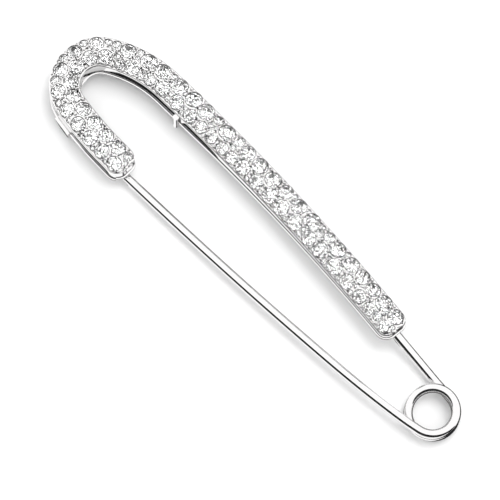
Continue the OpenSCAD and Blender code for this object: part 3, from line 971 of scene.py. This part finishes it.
# Black card is dark grey and matt.
card_black = new_material("black_card")
tree = card_black.node_tree
gloss = add_node(tree, "ShaderNodeBsdfPrincipled",
                 {"Base Color": linear("#101012"), "Roughness": 0.9})
add_node(tree, "ShaderNodeOutputMaterial", {}, {"Surface": gloss.outputs["BSDF"]})

# The same card where the light falls on it: it turns to white 8 to 40 mm north of the middle, and
# past the hook 37 to 55 mm to the west.
card_faded = new_material("black_card_in_falling_light")
tree = card_faded.node_tree
place = add_node(tree, "ShaderNodeTexCoord")
split = add_node(tree, "ShaderNodeSeparateXYZ", {}, {"Vector": place.outputs["Object"]})
north = add_node(tree, "ShaderNodeMapRange", {"From Min": 8 * MM, "From Max": 40 * MM},
                 {"Value": split.outputs["Y"]})
west = add_node(tree, "ShaderNodeMapRange", {"From Min": -37 * MM, "From Max": -55 * MM},
                {"Value": split.outputs["X"]})
far = add_node(tree, "ShaderNodeMath", {"operation": "MAXIMUM"},
               {0: north.outputs["Result"], 1: west.outputs["Result"]})
shade = add_node(tree, "ShaderNodeMix",
                 {"data_type": "RGBA", MIX_FIRST: linear("#101012"), MIX_SECOND: linear("#f5f5f5")},
                 {"Factor": far.outputs["Value"]})
gloss = add_node(tree, "ShaderNodeBsdfPrincipled", {"Roughness": 0.9},
                 {"Base Color": shade.outputs[MIX_RESULT]})
add_node(tree, "ShaderNodeOutputMaterial", {}, {"Surface": gloss.outputs["BSDF"]})

# White card in full light, a little brighter than the paper.
card_white = new_material("lit_white_card")
tree = card_white.node_tree
glow = add_node(tree, "ShaderNodeEmission", {"Color": linear("#ffffff"), "Strength": 1.2})
add_node(tree, "ShaderNodeOutputMaterial", {}, {"Surface": glow.outputs["Emission"]})


def only_in(prop, mirrors, glass):
    """Hides a stage prop from all but the mirrors of the metal, or the glass, or both."""
    prop.visible_camera = False
    prop.visible_diffuse = False
    prop.visible_shadow = False
    prop.visible_glossy = mirrors
    prop.visible_transmission = glass


# Strips that follow the casing. Each point of a wall mirrors the paper that lies WALL_THROW times
# its own height further out, so strips of card there draw lines on the wall: a black one for the
# dark line, and a white one beyond it.
WALL_THROW = 0.32

# The dark line in each part: its share of the wall's height, and how high over the rim it starts.
DARK_HEEL = (5.0, -2.4)
DARK_MOUTH = (0.27, 0.6)
DARK_LIMB = (0.66, 0.75)
DARK_HOOK = (0.24, 1.0)
HEEL_LEAD = 0.5
MOUTH_DARK_UNTIL = 16
MOUTH_DARK_FADE = 2
LIMB_DARK_LEAD = 1
LIMB_DARK_FADE = 3
HOOK_DARK_LEAD = 10
HOOK_DARK_FADE = 4
POST_CLEAR = 0.9
NO_LINE_START = 0.4
WHITE_WIDEST = 2.2
WHITE_OF_GAP = 0.4
FACING = 2
MOUTH_PAST = 2.2
LEG_EVERY = 8
leg_flat = [(p.x, p.y) for p in leg_path[STRAND_STEPS::LEG_EVERY] if p.x > MOUTH[0] + MOUTH_PAST]


def to_leg(wall):
    """Distance from a point of the wall to the pin leg, seen from above."""
    return min((wall.xy - Vector(point)).length for point in leg_flat)


def dark_line(s, n, sharp):
    """The dark line on the wall there: its share of the wall's height and its start."""
    if s > CASING_LENGTH - HEEL_CORNER - HEEL_LEAD:
        return DARK_HEEL
    if n > 0 or s < HOOK_START:
        return DARK_MOUTH[0] * capped((MOUTH_DARK_UNTIL - s) / MOUTH_DARK_FADE), DARK_MOUTH[1]
    on_limb = capped((s - HOOK_END + LIMB_DARK_LEAD) / LIMB_DARK_FADE)
    in_hook = (1 - on_limb) * capped((s - HOOK_END + HOOK_DARK_LEAD) / HOOK_DARK_FADE)
    return (DARK_LIMB[0] * sharp * on_limb + DARK_HOOK[0] * in_hook,
            DARK_HOOK[1] - (DARK_HOOK[1] - DARK_LIMB[1]) * on_limb)


near, past, lit = [], [], []
for s, n, rim, out_s, out_n, share, sharp in edge:
    wall = on_casing(s, n, 0) / MM
    dark, lift = dark_line(s, n, sharp)
    if (wall.xy - POST.xy).length < POST_CLEAR:
        dark = 0.0
    facing = min(1, FACING * share)
    start = DRAFT + WALL_THROW * (rim + lift) if dark else NO_LINE_START
    stop = start + WALL_THROW * dark * facing * (wall_top(sharp) - rim)
    bright = stop
    if n > 0 or not HOOK_START < s < HOOK_END - LIMB_DARK_LEAD:
        bright = max(stop, min(WHITE_WIDEST, WHITE_OF_GAP * to_leg(wall)) * facing)
    for ring, out in ((near, start), (past, stop), (lit, bright)):
        ring.append(on_casing(s + out * out_s, n + out * out_n, CARD_HEIGHT))
for name, rings, card in (("strip_beside", [near, past], card_black),
                          ("strip_lit", [past, lit], card_white)):
    mesh = bmesh.new()
    stack(mesh, rings)
    only_in(finish_mesh(mesh, name, [card]), True, False)

# Sheets that follow the wire: one inside the pin between the leg and the long limb, one outside
# of the long limb and the coil, and a small round one in the coil's eye.
SHEET_ENDS = (1, 7)
SHEET_STEPS = 60
SHEET_WIDEST = 4.5
SHEET_OF_GAP = 0.45
SHEET_NOTCH = 1.6
LIMB_EVERY = 0.5
LIMB_POINTS = 130
FAR_OFF = 500
EYE_CARD = 1.9


def sheet(name, corners, card=card_black):
    """A sheet of card that lies just over the paper."""
    mesh = bmesh.new()
    mesh.faces.new([mesh.verts.new(Vector((x, y, CARD_HEIGHT)) * MM) for x, y in corners])
    only_in(finish_mesh(mesh, name, [card]), True, False)


def flat(point):
    """A point in metres as x and y in millimetres."""
    return point.x / MM, point.y / MM


def round_eye(radius, turn):
    """A point round the coil's middle, at that turn in degrees, as x and y in millimetres."""
    return (COIL.x + radius * math.cos(math.radians(turn)),
            COIL.y + radius * math.sin(math.radians(turn)))


beside = []
for k in range(SHEET_STEPS + 1):
    s = HOOK_START + SHEET_ENDS[0] + (CASING_LENGTH - SHEET_ENDS[1] - HOOK_START
                                      - SHEET_ENDS[0]) * k / SHEET_STEPS
    gap = to_leg(on_casing(s, -CASING_HALF, 0) / MM)
    beside.append(flat(on_casing(s, -CASING_HALF - min(SHEET_WIDEST, SHEET_OF_GAP * gap), 0)))
sheet("sheet_inside", leg_flat + beside + [(leg_flat[2][0], leg_flat[2][1] + SHEET_NOTCH)])
outside = [round_eye(COIL_RADIUS, turn) for turn in range(-78, 86, 6)]
outside += [flat(on_casing(CASING_LENGTH - LIMB_EVERY * k, 0, 0)) for k in range(LIMB_POINTS)]
outside += [(-FAR_OFF, 0), (-FAR_OFF, FAR_OFF), (FAR_OFF, FAR_OFF), (FAR_OFF, -5)]
sheet("sheet_outside", outside, card_faded)
sheet("sheet_in_eye", [round_eye(EYE_CARD, turn) for turn in range(0, 360, 10)])

# The front card stands in a bend half a metre off, on the camera's side and below it. It draws the
# dark line along the camera's side of each wire.
CARD_MIDDLE = math.radians(32)
CARD_REACH = math.radians(78)
CARD_TOP = math.radians(60)
CARD_FOOT = math.radians(1)
CARD_DISTANCE = 0.5
CARD_COLUMNS = 32
CARD_ROWS = 8
CARD_TAPER = 0.98
mesh = bmesh.new()
columns = []
for i in range(CARD_COLUMNS + 1):
    share = -1 + 2 * i / CARD_COLUMNS
    azimuth = CARD_MIDDLE + CARD_REACH * share
    top = CARD_FOOT + (CARD_TOP - CARD_FOOT) * math.sqrt(1 - CARD_TAPER * share * share)
    columns.append([mesh.verts.new(round_about(
        azimuth, CARD_FOOT + (top - CARD_FOOT) * j / CARD_ROWS, CARD_DISTANCE))
        for j in range(CARD_ROWS + 1)])
for left, right in zip(columns, columns[1:]):
    for j in range(CARD_ROWS):
        mesh.faces.new((left[j], right[j], right[j + 1], left[j + 1]))
only_in(finish_mesh(mesh, "front_card", [card_black]), True, False)

# Tents. Domes of white cloth over the pin, lit from outside. The metal mirrors a plain one, and
# the glass shows one with unlit flecks, which gives the facets their dark specks.
TENT_RADIUS = 0.7
FLECKED_RADIUS = 0.8
TENT_CREASE = 90


def dome(name, radius, material, mirrors, glass):
    """A dome over the pin that lights nothing, and only shows in metal or only in glass."""
    mesh = bmesh.new()
    bmesh.ops.create_uvsphere(mesh, u_segments=48, v_segments=24, radius=radius)
    only_in(finish_mesh(mesh, name, [material], TENT_CREASE), mirrors, glass)


# White cloth with the light behind it is even and bright.
tent_cloth = new_material("white_tent_cloth")
tree = tent_cloth.node_tree
glow = add_node(tree, "ShaderNodeEmission", {"Color": linear("#ffffff"), "Strength": 1.3})
add_node(tree, "ShaderNodeOutputMaterial", {}, {"Surface": glow.outputs["Emission"]})
dome("tent", TENT_RADIUS, tent_cloth, True, False)

# The same cloth with patches of 22 mm, of which more than half are unlit and the rest very bright.
flecked = new_material("flecked_tent_cloth")
tree = flecked.node_tree
place = add_node(tree, "ShaderNodeTexCoord")
fleck = add_node(tree, "ShaderNodeTexVoronoi", {"Scale": 45.0},
                 {"Vector": place.outputs["Object"]})
split = add_node(tree, "ShaderNodeSeparateColor", {}, {"Color": fleck.outputs["Color"]})
shine = add_node(tree, "ShaderNodeMapRange",
                 {"From Min": 0.63, "From Max": 0.64, "To Min": 0.0, "To Max": 3.2},
                 {"Value": split.outputs["Red"]})
glow = add_node(tree, "ShaderNodeEmission", {"Color": linear("#ffffff")},
                {"Strength": shine.outputs["Result"]})
add_node(tree, "ShaderNodeOutputMaterial", {}, {"Surface": glow.outputs["Emission"]})
dome("flecked_tent", FLECKED_RADIUS, flecked, False, True)

# The soft box is a lit square of cloth, 360 mm wide and half a metre up, and the walls soften its
# shadows. It doesn't show in the metal or the glass, where the tents take its place.
BOX_SIDE = 0.36
BOX_POWER = 1.6
BOX_PLACE = (0.0, 0.26, 0.54)
WALLS = 1.08
key_data = bpy.data.lights.new("soft_box", "AREA")
key_data.shape = "RECTANGLE"
key_data.size = BOX_SIDE
key_data.size_y = BOX_SIDE
key_data.energy = BOX_POWER
key = bpy.data.objects.new("soft_box", key_data)
bpy.context.scene.collection.objects.link(key)
key.location = BOX_PLACE
key.rotation_euler = (LOOK_AT - key.location).to_track_quat("-Z", "Y").to_euler()
key.visible_glossy = False
key.visible_transmission = False

world = bpy.data.worlds.new("white_studio")
world.use_nodes = True
world.node_tree.nodes.clear()
sky = add_node(world.node_tree, "ShaderNodeBackground",
               {"Color": linear("#ffffff"), "Strength": WALLS})
add_node(world.node_tree, "ShaderNodeOutputWorld", {}, {"Surface": sky.outputs["Background"]})
bpy.context.scene.world = world
bpy.context.scene.view_settings.view_transform = "Standard"
